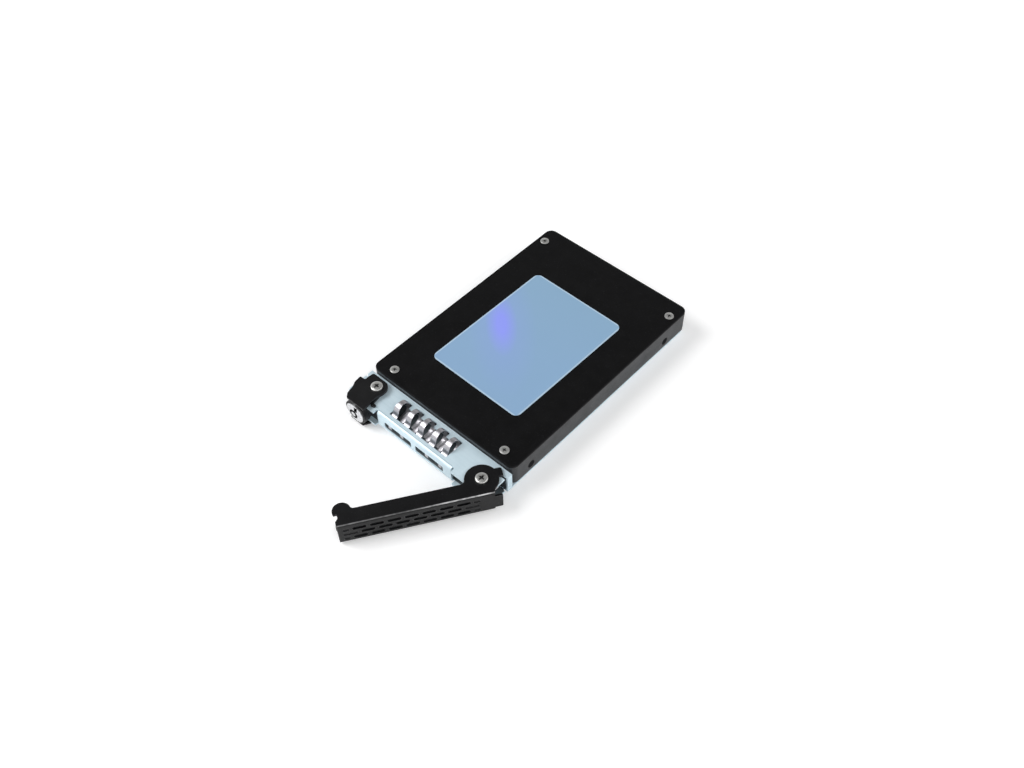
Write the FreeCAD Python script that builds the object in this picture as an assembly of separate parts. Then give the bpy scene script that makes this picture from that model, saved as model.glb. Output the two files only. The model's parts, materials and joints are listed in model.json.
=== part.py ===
# Hot swap drive caddy: a 2.5 inch solid-state drive on a sheet-metal carrier with a swinging ejector lever.
# Millimetres. +Z up, +Y towards the drive's connectors, origin on the tray's underside at the middle of
# the front channel's face. The lever is built closed, then turned to its open stop, which is the rest pose.
import FreeCAD, Part
import math
import os

V = FreeCAD.Vector
Y_AXIS, Z_AXIS = V(0, 1, 0), V(0, 0, 1)
os.makedirs("parts", exist_ok=True)

# ---------------------------------------------------------------- drive (2.5 inch form factor)
DRIVE_W, DRIVE_L, DRIVE_H = 69.85, 100.2, 9.5
DRIVE_R = 3.0                        # corner radius in plan
COVER_T = 0.8
CASE_WALL, CASE_FLOOR = 1.6, 1.2
MOUNT_HOLES_FROM_REAR = (14.0, 90.6)  # side and bottom screw holes, from the connector end
SIDE_HOLE_UP = 3.0                   # above the drive's bottom
BOTTOM_HOLE_IN = 4.07                # from the drive's side
TAP_R = 1.25                         # M3 drawn at its minor radius
TAP_DEPTH = 2.5
BOSS_R = 3.3
COVER_SCREW_IN = (3.4, 7.6)          # from a side: rear pair, front pair
COVER_SCREW_FROM = (7.7, 4.15)       # from the rear edge, from the front edge
COVER_SCREW_R, COVER_HEAD_R, COVER_HEAD_H = 0.9, 1.75, 0.45
LABEL_W, LABEL_L, LABEL_R, LABEL_T = 42.8, 58.7, 2.5, 0.15
LABEL_MIDDLE = (-0.15, 46.95)        # from the drive's centre line and front edge
LABEL_TURN = -0.7                    # degrees: stuck on slightly askew
BOARD_SIDE_GAP, BOARD_REAR_GAP = 0.6, 0.4   # inside the case
BOARD_W = DRIVE_W - 2 * (CASE_WALL + BOARD_SIDE_GAP)
BOARD_L, BOARD_T, BOARD_TOP = 84.0, 1.0, 7.3
CHIP_T = 1.2
CONTROLLER, PAD_INSET = 17.0, 1.0    # the controller's side, and how far its thermal pad stays inside it
FLASH_W, FLASH_L = 13.5, 17.5
FLASH_ROWS = (0.14, 0.43, 0.67)      # row middles, as parts of the board's length from its front
CONNECTOR_W, CONNECTOR_D, CONNECTOR_H = 42.0, 7.6, 4.2
CONNECTOR_OFFSET = 4.8               # its middle, from the drive's centre line
CONNECTOR_EAR = 1.5

# ---------------------------------------------------------------- tray and front channel (zinc-plated sheet)
SHEET = 0.8
TRAY_REAR_GAP = 0.6                  # the tray ends just short of the drive's connector end
CHANNEL_H = 8.0                      # over the top plate
CHANNEL_REAR = 12.3                  # back edge of the top plate; the drive starts DRIVE_FRONT
DRIVE_FRONT = 12.6
WALL_LEFT, WALL_RIGHT = -19.4, 17.6  # front wall between its two relief slots
RELIEF_W, RELIEF_BACK = 0.8, 1.0
TAB_FRONT = -1.0                     # both plates reach past the wall at each end
POST_L = 2.4                         # corner posts that tie the two plates
CORNER_SLIT_W, CORNER_SLIT_IN = 0.8, 3.3
FLAG_INSET = 0.55
WALL_SLOTS = ((-16.0, -2.4), (-0.3, 13.5))
WALL_SLOT_BOTTOM, WALL_SLOT_TOP = 1.7, 5.0

# ---------------------------------------------------------------- EMI finger strip (spring steel)
FINGERS, FINGER_PITCH, FINGER_MIDDLE = 5, 6.25, -1.175
FINGER_FRONT_W, FINGER_CREST_W = 2.6, 1.9
STRIP_T = 0.2
WINDOW_FRONT, WINDOW_BACK, NOTCH_BACK, NOTCH_W = 2.4, 8.7, 10.7, 3.6
FINGER_X = [FINGER_MIDDLE + (i - (FINGERS - 1) / 2) * FINGER_PITCH for i in range(FINGERS)]
CREST_UP, CREST_Y = 3.1, 7.1         # the crest's height above the top plate, and its place
STRIP_UNDER = 0.3                    # the strip lies this far under the plate's underside
BEND_R = 0.28
STRIP_LEGS = (-13.2, -7.2, 5.3, 11.9)
LEG_W, LEG_T, LEG_BOTTOM = 1.5, 0.3, 3.4

# ---------------------------------------------------------------- ejector lever
PIVOT = V(28.975, 3.5, 0)
OPEN_ANGLE = 56.5
LEVER_ARM, LEVER_IN = 50.5, 6.5      # pivot from the lever's left end and from its face
LEVER_FACE_L, LEVER_STRIP = 53.5, 6.1
TAB_OUT, TAB_UP, TAB_DOWN = 56.4, 1.4, 2.4   # end tab of the face: its reach, and how far inside the flanges
FOOT_STEP_FROM, FOOT_STEP = 50.8, 0.4        # the face's lower edge steps up near the tab
NOTCH_IN, NOTCH_FRONT, NOTCH_REAR = 0.9, 3.2, 4.8   # the notch that the catch holds
LEVER_TOP, LEVER_BOTTOM = 9.0, -1.2
FOLD_R = 0.9
HEEL_R, TIP_R = 6.0, 3.2             # lobes at the pivot and at the latch end
LUG_OUT, LUG_FRONT, LUG_BACK = 58.1, 6.1, 9.7
SLOT_L, SLOT_W, SLOT_PITCH = 5.0, 1.6, 5.9
SLOT_ROWS = ((6.0, 4.9, 7), (3.5, 7.6, 6), (1.0, 4.9, 7))   # height, start of the first slot, slots
BLIND_OUTER = ((1.6, 4.0), (46.0, 48.5))     # shallow half slots that end the outer rows
BLIND_MIDDLE = ((1.6, 6.7), (43.0, 48.1))
BLIND_DEPTH = 0.25
COIL_STEPS = 12                      # straight steps in one turn of a spring
RUNNING = 0.05                       # radial clearance of a pivot hole on its screw
PIVOT_R = 1.5
BUSH_R, HEAD_R, HEAD_H, NUT_R, NUT_H = 2.4, 2.3, 1.0, 2.3, 0.75

# ---------------------------------------------------------------- latch
LATCH = V(-26.425, 6.9, 0)
LATCH_LOBE_R = 4.0
LATCH_CAP_TOP, LATCH_CAP_BOTTOM = 9.95, 9.15
LATCH_FOOT_TOP, LATCH_FOOT_BOTTOM = -0.5, -1.3
RING_X, RING_Z, RING_R, RING_WALL = -27.5, 4.2, 5.05, 0.65
RING_FRONT, RING_BACK = -3.5, -1.1
BUTTON_R, BUTTON_FRONT, BUTTON_BACK, BUTTON_DOME = 4.25, -3.9, -2.8, 0.7
BUTTON_EYE_R, BUTTON_EYE_DEPTH = 2.0, 0.7
BUTTON_NOTCH = (0.6, 1.8, 1.9, 3.6)  # right of the middle from, to; above the middle from, to
BUTTON_TRAVEL = 0.85
STEM = 1.2                           # half the stem's square
GUIDE_FRONT, GUIDE_BACK = -0.4, 1.2
SLIDER_FRONT, SLIDER_BACK = 1.25, 2.85
POST_X, POST_Y, POST_R = -31.025, 2.4, 0.5
PAWL_BOTTOM, PAWL_TOP = 8.2, 9.0
PAWL_TIP = V(-21.2, 1.0, 0)
FACE = 0.05                          # between faces that slide on one another


# ---------------------------------------------------------------- helpers
def box(x0, x1, y0, y1, z0, z1):
    return Part.makeBox(x1 - x0, y1 - y0, z1 - z0, V(x0, y0, z0))


def post(centre, radius, z0, z1):
    return Part.makeCylinder(radius, z1 - z0, V(centre.x, centre.y, z0), Z_AXIS)


def rounded_wire(corners, closed=True):
    """A wire through corners (point, radius), each corner rounded by its radius."""
    count = len(corners)
    edges, joints = [], []
    for i, (point, radius) in enumerate(corners):
        ends = not closed and i in (0, count - 1)
        if radius <= 0 or ends:
            joints.append((point, None, point))
            continue
        to_last = (corners[i - 1][0] - point).normalize()
        to_next = (corners[(i + 1) % count][0] - point).normalize()
        half = to_last.getAngle(to_next) / 2
        reach = radius / math.tan(half)
        middle = point + (to_last + to_next).normalize() * (radius / math.sin(half) - radius)
        joints.append((point + to_last * reach, middle, point + to_next * reach))
    for start, middle, end in joints:
        if middle is not None:
            edges.append(Part.Arc(start, middle, end).toShape())
    pairs = range(count if closed else count - 1)
    for i in pairs:
        start, end = joints[i][2], joints[(i + 1) % count][0]
        if (end - start).Length > 1e-6:
            edges.append(Part.makeLine(start, end))
    return Part.Wire(Part.__sortEdges__(edges))


def prism(corners, z0, z1):
    """A plan outline of (x, y, radius) corners, extruded from z0 to z1."""
    wire = rounded_wire([(V(x, y, z0), r) for x, y, r in corners])
    return Part.Face(wire).extrude(V(0, 0, z1 - z0))


def rounded_plate(x0, x1, y0, y1, z0, z1, radius):
    return prism([(x0, y0, radius), (x1, y0, radius), (x1, y1, radius), (x0, y1, radius)], z0, z1)


def front_slot(x0, x1, z0, z1, y0, y1, radius):
    """A rounded opening through a wall that faces the front."""
    points = [(V(x, y0, z), radius) for x, z in ((x0, z0), (x1, z0), (x1, z1), (x0, z1))]
    return Part.Face(rounded_wire(points)).extrude(V(0, y1 - y0, 0))


def section(corners, x0, x1):
    """A (y, z, radius) profile extruded along X."""
    wire = rounded_wire([(V(x0, y, z), r) for y, z, r in corners])
    return Part.Face(wire).extrude(V(x1 - x0, 0, 0))


def soften(shape, radius, wanted):
    """Rounds the edges of shape that wanted(edge) picks."""
    edges = [edge for edge in shape.Edges if wanted(edge)]
    return shape.makeFillet(radius, edges)


def bevel(shape, size, wanted):
    """Chamfers the edges of shape that wanted(edge) picks."""
    edges = [edge for edge in shape.Edges if wanted(edge)]
    return shape.makeChamfer(size, edges)


def at_height(z):
    """Picks level edges at a height."""
    return lambda edge: abs(edge.CenterOfMass.z - z) < 1e-3 and edge.BoundBox.ZLength < 1e-3


def upright_near(x, y, reach=0.4):
    """Picks upright edges that stand near a plan point."""
    def wanted(edge):
        first, last = edge.Vertexes[0].Point, edge.Vertexes[-1].Point
        upright = abs(first.x - last.x) < 1e-4 and abs(first.y - last.y) < 1e-4
        return upright and math.hypot(first.x - x, first.y - y) < reach and abs(first.z - last.z) > 0.1
    return wanted


def joined(shapes):
    return shapes[0].multiFuse(shapes[1:]).removeSplitter()


def ribbon(points, radius, thickness, x0, x1):
    """A bent strip: a path of (y, z) points with rounded bends, thickened and extruded along X."""
    wire = rounded_wire([(V(x0, y, z), radius) for y, z in points], closed=False)
    face = wire.makeOffset2D(thickness, 0, True, True)
    return face.extrude(V(x1 - x0, 0, 0))


def coil(radius, wire_r, turns, height, centre, axis):
    """A helical spring from centre along axis, drawn as a wire of six sides in short straight steps."""
    steps = COIL_STEPS * turns
    rings = []
    for step in range(steps + 1):
        ring = Part.makePolygon([V(radius + wire_r * math.cos(corner), 0, wire_r * math.sin(corner))
                                 for corner in (math.pi * k / 3 for k in range(7))])
        ring.rotate(V(0, 0, 0), Z_AXIS, 360 * step / COIL_STEPS)
        ring.translate(V(0, 0, height * step / steps))
        rings.append(ring)
    spring = Part.makeLoft(rings, True, True)
    spring.Placement = FreeCAD.Placement(centre, FreeCAD.Rotation(Z_AXIS, axis))
    return spring


NODES = {}


def keep(name, shapes):
    NODES[name] = shapes if isinstance(shapes, list) else [shapes]


# ---------------------------------------------------------------- the drive
SIDE = DRIVE_W / 2
DRIVE_REAR = DRIVE_FRONT + DRIVE_L
DRIVE_BOTTOM = SHEET
DRIVE_TOP = DRIVE_BOTTOM + DRIVE_H
CASE_TOP = DRIVE_TOP - COVER_T
HOLE_ROWS = [DRIVE_REAR - distance for distance in MOUNT_HOLES_FROM_REAR]
CONNECTOR_X = (CONNECTOR_OFFSET - CONNECTOR_W / 2, CONNECTOR_OFFSET + CONNECTOR_W / 2)
BOARD_BOTTOM = BOARD_TOP - BOARD_T
BOARD_REAR = DRIVE_REAR - CASE_WALL - BOARD_REAR_GAP


def cover_screw_places():
    rear, front = COVER_SCREW_FROM
    return [V(sign * (SIDE - inset), y, 0)
            for inset, y in zip(COVER_SCREW_IN, (DRIVE_REAR - rear, DRIVE_FRONT + front))
            for sign in (-1, 1)]


def build_drive():
    case = rounded_plate(-SIDE, SIDE, DRIVE_FRONT, DRIVE_REAR, DRIVE_BOTTOM, CASE_TOP, DRIVE_R)
    case = case.cut(rounded_plate(-SIDE + CASE_WALL, SIDE - CASE_WALL, DRIVE_FRONT + CASE_WALL,
                                  DRIVE_REAR - CASE_WALL, DRIVE_BOTTOM + CASE_FLOOR, CASE_TOP + 1,
                                  DRIVE_R - CASE_WALL))
    bosses = []
    for row in HOLE_ROWS:
        for sign in (-1, 1):
            centre = V(sign * (SIDE - BOTTOM_HOLE_IN), row, 0)
            inner = centre.x - sign * BOSS_R
            bosses.append(box(min(sign * SIDE, inner), max(sign * SIDE, inner), row - BOSS_R,
                              row + BOSS_R, DRIVE_BOTTOM, BOARD_BOTTOM))
    for place in cover_screw_places():
        bosses.append(post(place, COVER_SCREW_R + 1.3, DRIVE_BOTTOM, CASE_TOP))
    case = joined([case] + bosses)
    outer = rounded_plate(-SIDE, SIDE, DRIVE_FRONT, DRIVE_REAR, DRIVE_BOTTOM, CASE_TOP, DRIVE_R)
    case = case.common(outer)
    cuts = []
    for row in HOLE_ROWS:
        for sign in (-1, 1):
            hole = Part.makeCylinder(TAP_R, TAP_DEPTH, V(sign * SIDE, row, DRIVE_BOTTOM + SIDE_HOLE_UP),
                                     V(-sign, 0, 0))
            cuts += [hole, post(V(sign * (SIDE - BOTTOM_HOLE_IN), row, 0), TAP_R, DRIVE_BOTTOM,
                                DRIVE_BOTTOM + TAP_DEPTH + 0.4)]
    for place in cover_screw_places():
        cuts.append(post(place, COVER_SCREW_R + 0.03, CASE_TOP - 4.0, CASE_TOP))
    cuts.append(box(CONNECTOR_X[0] - 0.2, CONNECTOR_X[1] + 0.2, DRIVE_REAR - CASE_WALL - 1,
                    DRIVE_REAR + 1, DRIVE_BOTTOM + CASE_FLOOR - 0.2, BOARD_BOTTOM + 0.2))
    for cut in cuts:
        case = case.cut(cut)
    keep("drive_case", case)

    cover = rounded_plate(-SIDE, SIDE, DRIVE_FRONT, DRIVE_REAR, CASE_TOP, DRIVE_TOP, DRIVE_R)
    cover = bevel(cover, 0.25, at_height(DRIVE_TOP))
    screws = []
    for place in cover_screw_places():
        cover = cover.cut(post(place, COVER_SCREW_R + 0.1, CASE_TOP - 1, DRIVE_TOP + 1))
        head = post(place, COVER_HEAD_R, DRIVE_TOP, DRIVE_TOP + COVER_HEAD_H)
        screws.append(head.fuse(post(place, COVER_SCREW_R, CASE_TOP - 3.6, DRIVE_TOP)))
    keep("drive_cover", cover)
    keep("drive_cover_screws", screws)

    label = rounded_plate(-LABEL_W / 2, LABEL_W / 2, -LABEL_L / 2, LABEL_L / 2, 0, LABEL_T, LABEL_R)
    middle = V(LABEL_MIDDLE[0], DRIVE_FRONT + LABEL_MIDDLE[1], DRIVE_TOP)
    label.Placement = FreeCAD.Placement(middle, FreeCAD.Rotation(Z_AXIS, LABEL_TURN))
    keep("drive_label", label)


def build_electronics():
    board = box(-BOARD_W / 2, BOARD_W / 2, BOARD_REAR - BOARD_L, BOARD_REAR, BOARD_BOTTOM, BOARD_TOP)
    for place in cover_screw_places():
        board = board.cut(post(place, COVER_SCREW_R + 1.6, BOARD_BOTTOM - 1, BOARD_TOP + 1))
    for row in HOLE_ROWS:
        for sign in (-1, 1):
            board = board.cut(post(V(sign * (SIDE - BOTTOM_HOLE_IN), row, 0), 1.0, BOARD_BOTTOM - 1,
                                   BOARD_TOP + 1))
    keep("drive_board", board)

    shell_back = DRIVE_REAR - CONNECTOR_D
    top = BOARD_BOTTOM
    bottom = top - CONNECTOR_H
    body = box(CONNECTOR_X[0], CONNECTOR_X[1], shell_back, shell_back + 2.6, bottom, top)
    tongue = box(CONNECTOR_X[0] + 2.2, CONNECTOR_X[1] - 2.2, shell_back + 2.6, DRIVE_REAR - 0.3,
                 bottom + 1.4, bottom + 2.7)
    ears = [box(x, x + CONNECTOR_EAR, shell_back + 2.6, DRIVE_REAR, bottom + 0.3, bottom + 3.6)
            for x in (CONNECTOR_X[0], CONNECTOR_X[1] - CONNECTOR_EAR)]
    keep("drive_connector", joined([body, tongue] + ears))

    board_front = BOARD_REAR - BOARD_L
    half, pad_half = CONTROLLER / 2, CONTROLLER / 2 - PAD_INSET
    middle = board_front + BOARD_L * 0.3
    keep("controller_chip", box(-half, half, middle - half, middle + half, BOARD_TOP, BOARD_TOP + CHIP_T))
    keep("thermal_pad", box(-pad_half, pad_half, middle - pad_half, middle + pad_half, BOARD_TOP + CHIP_T,
                            CASE_TOP))
    flash = []
    for sign in (-1, 1):
        x = sign * (BOARD_W / 4 + FLASH_W / 4) - FLASH_W / 2
        for part_way in FLASH_ROWS:
            y = board_front + BOARD_L * part_way - FLASH_L / 2
            flash.append(box(x, x + FLASH_W, y, y + FLASH_L, BOARD_TOP, BOARD_TOP + CHIP_T))
    keep("flash_chips", flash)


# ---------------------------------------------------------------- the tray
def channel_plate(z0, z1):
    """One plate of the front channel at the ends, where it reaches past the front wall."""
    flag_x = SIDE - FLAG_INSET
    corner = LEVER_IN - SHEET - 0.3          # stays inside the circle the lever's face sweeps
    return prism([(-SIDE, TAB_FRONT, 3.0), (WALL_LEFT, TAB_FRONT, 0.3), (WALL_LEFT, RELIEF_BACK, 0),
                  (WALL_RIGHT, RELIEF_BACK, 0), (WALL_RIGHT, TAB_FRONT, 0.3),
                  (flag_x, TAB_FRONT, corner), (flag_x, CHANNEL_REAR - POST_L, 0),
                  (SIDE, CHANNEL_REAR - POST_L, 0), (SIDE, CHANNEL_REAR, 0), (-SIDE, CHANNEL_REAR, 0)],
                 z0, z1)


def build_tray():
    tray_rear = DRIVE_REAR - TRAY_REAR_GAP
    floor = prism([(-SIDE, CHANNEL_REAR - 1, 0), (SIDE, CHANNEL_REAR - 1, 0), (SIDE, tray_rear, DRIVE_R),
                   (-SIDE, tray_rear, DRIVE_R)], 0, SHEET)
    top_plate = channel_plate(CHANNEL_H - SHEET, CHANNEL_H)
    bottom_plate = channel_plate(0, SHEET)
    outer = [(0, 0, 1.1), (0, CHANNEL_H, 1.1), (2, CHANNEL_H, 0), (2, 0, 0)]
    inner = [(SHEET, SHEET, 0.4), (SHEET, CHANNEL_H - SHEET, 0.4), (3, CHANNEL_H - SHEET, 0), (3, SHEET, 0)]
    wall = section(outer, WALL_LEFT, WALL_RIGHT).cut(section(inner, WALL_LEFT, WALL_RIGHT))
    posts = [box(x, x + SHEET, CHANNEL_REAR - POST_L, CHANNEL_REAR, 0, CHANNEL_H)
             for x in (-SIDE, SIDE - SHEET)]
    tray = joined([floor, top_plate, bottom_plate, wall] + posts)
    cuts = []
    for x in (WALL_LEFT - RELIEF_W, WALL_RIGHT):
        cuts.append(prism([(x, -9, 0), (x + RELIEF_W, -9, 0), (x + RELIEF_W, RELIEF_BACK, 0.39),
                           (x, RELIEF_BACK, 0.39)], -1, CHANNEL_H + 1))
    slit_back = CHANNEL_REAR - POST_L
    for sign in (-1, 1):
        inner, outer = sign * (SIDE - CORNER_SLIT_IN), sign * (SIDE + 1)
        cuts.append(prism([(inner, slit_back - CORNER_SLIT_W, 0.39), (outer, slit_back - CORNER_SLIT_W, 0),
                           (outer, slit_back, 0), (inner, slit_back, 0.39)], -1, CHANNEL_H + 1))
    under, over, notch = CHANNEL_H - 2, CHANNEL_H + 1, NOTCH_W / 2
    cuts.append(box(FINGER_X[0] - notch, FINGER_X[-1] + notch, WINDOW_FRONT, WINDOW_BACK, under, over))
    for x in FINGER_X:
        cuts.append(box(x - notch, x + notch, WINDOW_BACK - 1, NOTCH_BACK, under, over))
    for x0, x1 in WALL_SLOTS:
        cuts.append(front_slot(x0, x1, WALL_SLOT_BOTTOM, WALL_SLOT_TOP, -1, SHEET + 1, 0.8))
    for centre in (PIVOT, LATCH):
        cuts.append(post(centre, PIVOT_R + RUNNING, -1, CHANNEL_H + 1))
    cuts.append(rounded_plate(POST_X - POST_R - 0.3, POST_X + POST_R + 0.3, POST_Y - POST_R - 0.4,
                              POST_Y + POST_R + BUTTON_TRAVEL + 0.4, CHANNEL_H - 2, CHANNEL_H + 1, 0.7))
    screws = []
    for row in HOLE_ROWS:
        for sign in (-1, 1):
            centre = V(sign * (SIDE - BOTTOM_HOLE_IN), row, 0)
            cuts.append(Part.makeCone(TAP_R + 1.1, TAP_R + 0.3, SHEET, centre))
            head = Part.makeCone(TAP_R + 1.05, TAP_R + 0.25, SHEET, centre)
            shank = post(centre, TAP_R - 0.03, SHEET, SHEET + TAP_DEPTH)
            screws.append(head.fuse(shank))
    for cut in cuts:
        tray = tray.cut(cut)
    keep("tray", tray)
    keep("drive_mount_screws", screws)


# ---------------------------------------------------------------- the EMI finger strip
def build_strip():
    """Fingers that rise through the window, curl over behind the crest and hook back under the plate."""
    seat = CHANNEL_H - SHEET - STRIP_UNDER
    crest = CHANNEL_H + CREST_UP
    front, ramp_start = SHEET + STRIP_UNDER, WINDOW_FRONT + 2.0
    path = [(front, seat), (WINDOW_FRONT + 0.45, seat), (WINDOW_FRONT + 0.95, CHANNEL_H - 0.15),
            (ramp_start, CHANNEL_H - 0.15), (5.0, CHANNEL_H + 1.0), (6.2, crest - 0.55), (CREST_Y, crest),
            (8.5, crest - 0.4), (9.6, crest - 1.1), (10.25, CHANNEL_H - 0.5), (10.15, 4.6), (9.0, 3.4),
            (5.6, 3.0)]
    wide, narrow, rear = FINGER_FRONT_W / 2, FINGER_CREST_W / 2, NOTCH_BACK + 1
    shapes = [box(FINGER_X[0] - wide, FINGER_X[-1] + wide, front, WINDOW_FRONT, seat, seat + STRIP_T)]
    for x in FINGER_X:
        finger = ribbon(path, BEND_R, STRIP_T, x - wide, x + wide)
        plan = prism([(x - wide, 0, 0), (x + wide, 0, 0), (x + wide, ramp_start, 0), (x + narrow, CREST_Y, 0),
                      (x + narrow, rear, 0), (x - narrow, rear, 0), (x - narrow, CREST_Y, 0),
                      (x - wide, ramp_start, 0)], 0, crest + 1)
        shapes.append(finger.common(plan))
    for x in STRIP_LEGS:
        shapes.append(box(x - LEG_W / 2, x + LEG_W / 2, SHEET + FACE, SHEET + FACE + LEG_T, LEG_BOTTOM,
                          seat + STRIP_T))
    keep("emi_spring_strip", joined(shapes))


# ---------------------------------------------------------------- the lever and its pivot
def build_lever():
    """Closed pose: x from the lever's left end, y from its face; then moved onto the pivot and opened."""
    heel, tip = V(LEVER_ARM, LEVER_IN, 0), V(2.6, 6.0, 0)
    low, high = LEVER_BOTTOM, LEVER_TOP
    plan = joined([
        prism([(0, 0, 0.6), (LEVER_FACE_L, 0, 0.4), (LEVER_FACE_L + 0.6, 1.6, 0.8),
               (LEVER_FACE_L + 0.6, LEVER_STRIP, 0), (0, LEVER_STRIP, 0)], low, high),
        post(heel, HEEL_R, low, high),
        post(tip, TIP_R, low, high),
        prism([(LEVER_ARM, LUG_FRONT, 0), (LUG_OUT, LUG_FRONT, 0.6), (LUG_OUT, LUG_BACK, 0.8),
               (LEVER_ARM, LUG_BACK, 0)], low, high)])
    heel_meets = heel.x - math.sqrt(HEEL_R ** 2 - (LEVER_STRIP - heel.y) ** 2)
    tip_meets = tip.x + math.sqrt(TIP_R ** 2 - (LEVER_STRIP - tip.y) ** 2)
    plan = soften(plan, 1.6, upright_near(heel_meets, LEVER_STRIP))
    plan = soften(plan, 1.2, upright_near(tip_meets, LEVER_STRIP))
    notch = prism([(-3, NOTCH_REAR, 0), (NOTCH_IN, NOTCH_REAR, 0.3), (NOTCH_IN, NOTCH_FRONT, 0.3),
                   (-0.35, NOTCH_FRONT / 2, 0), (-3, NOTCH_FRONT / 2, 0)], low - 1, high + 1)
    plan = plan.cut(notch)
    left, right, back = -TIP_R, LUG_OUT + 1, LEVER_IN + HEEL_R + 1
    outer = [(0, low, FOLD_R), (0, high, FOLD_R), (back, high, 0), (back, low, 0)]
    inner = [(SHEET, low + SHEET, 0.3), (SHEET, high - SHEET, 0.3), (back + 1, high - SHEET, 0),
             (back + 1, low + SHEET, 0)]

    lever = section(outer, left, right).cut(section(inner, left, right)).common(plan)
    tab = front_slot(LEVER_FACE_L - 1, TAB_OUT, low + TAB_UP, high - TAB_DOWN, 0, SHEET, 0.5)
    step = box(FOOT_STEP_FROM, LUG_OUT + 2, -1, SHEET + 0.001, low - 1, low + FOOT_STEP)
    lever = lever.cut(step).fuse(tab).removeSplitter()

    end_r = SLOT_W / 2 - 0.01
    for row, (z, start, count) in enumerate(SLOT_ROWS):
        low_z, high_z = z - SLOT_W / 2, z + SLOT_W / 2
        for i in range(count):
            x = start + i * SLOT_PITCH
            lever = lever.cut(front_slot(x, x + SLOT_L, low_z, high_z, -1, SHEET + 1, end_r))
        for x0, x1 in BLIND_MIDDLE if row == 1 else BLIND_OUTER:
            lever = lever.cut(front_slot(x0, x1, low_z, high_z, -1, BLIND_DEPTH, end_r))
    lever = lever.cut(post(heel, PIVOT_R + RUNNING, low - 1, high + 1))
    lever.translate(V(PIVOT.x - LEVER_ARM, PIVOT.y - LEVER_IN, 0))
    lever.rotate(PIVOT, Z_AXIS, OPEN_ANGLE)
    keep("lever", lever)


def pivot_stack(name, centre, head_bottom, foot_bottom):
    """A shoulder screw through both plates, a bush between them and a riveted nut beneath."""
    head = post(centre, HEAD_R, head_bottom, head_bottom + HEAD_H)
    head = bevel(head, 0.4, at_height(head_bottom + HEAD_H))
    keep(name + "_pivot_screw", head.fuse(post(centre, PIVOT_R, foot_bottom - FACE - NUT_H, head_bottom)))
    bush = post(centre, BUSH_R, SHEET, CHANNEL_H - SHEET).cut(post(centre, PIVOT_R + 0.02, 0, CHANNEL_H))
    keep(name + "_pivot_bush", bush)
    nut = post(centre, NUT_R, foot_bottom - FACE - NUT_H, foot_bottom - FACE)
    keep(name + "_pivot_nut", nut.cut(post(centre, PIVOT_R + 0.02, -9, 9)))


def build_lever_spring():
    """A torsion spring round the bush; one leg on the tray's floor side, one hooked towards the lever."""
    turns, wire_r = 4, 0.3
    radius = BUSH_R + 0.25 + wire_r
    spring = coil(radius, wire_r, turns, 3.2, V(PIVOT.x, PIVOT.y, 2.0), Z_AXIS)
    start, end = V(PIVOT.x + radius, PIVOT.y, 2.0), V(PIVOT.x + radius, PIVOT.y, 5.2)
    leg_low = Part.makeCylinder(wire_r, 4.6, start, Y_AXIS)
    leg_high = Part.makeCylinder(wire_r, 4.6, end, V(0, 1, 0))
    keep("lever_spring", joined([spring, leg_low, leg_high]))


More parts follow.
